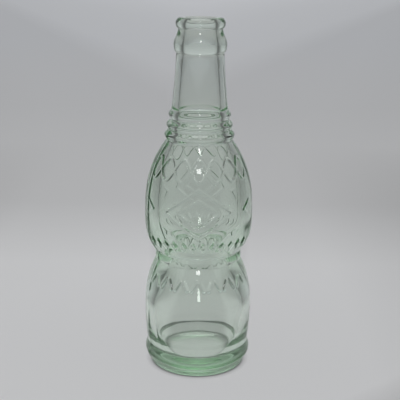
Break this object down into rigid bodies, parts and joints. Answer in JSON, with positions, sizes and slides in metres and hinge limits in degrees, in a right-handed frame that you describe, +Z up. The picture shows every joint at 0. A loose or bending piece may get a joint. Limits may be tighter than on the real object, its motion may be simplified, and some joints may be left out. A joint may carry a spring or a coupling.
{
  "type": "soda bottle",
  "caption": "Double-bulb blown-glass soda bottle with a ringed shoulder, beaded waist, heel ring and open crown-finish mouth, empty and uncapped.",
  "frame": {"origin": "centre of the flat circle on which the bottle stands", "axes": "+Z up along the bottle's axis, towards the mouth; -Y faces the viewer of the picture"},
  "size_m": [0.0602, 0.0612, 0.195],
  "materials": {
    "glass": "pale green clear blown glass, fire-polished, lightly worn on the rings"
  },
  "bodies": {
    "root": {"glass_bottle": "glass"}
  },
  "joints": []
}
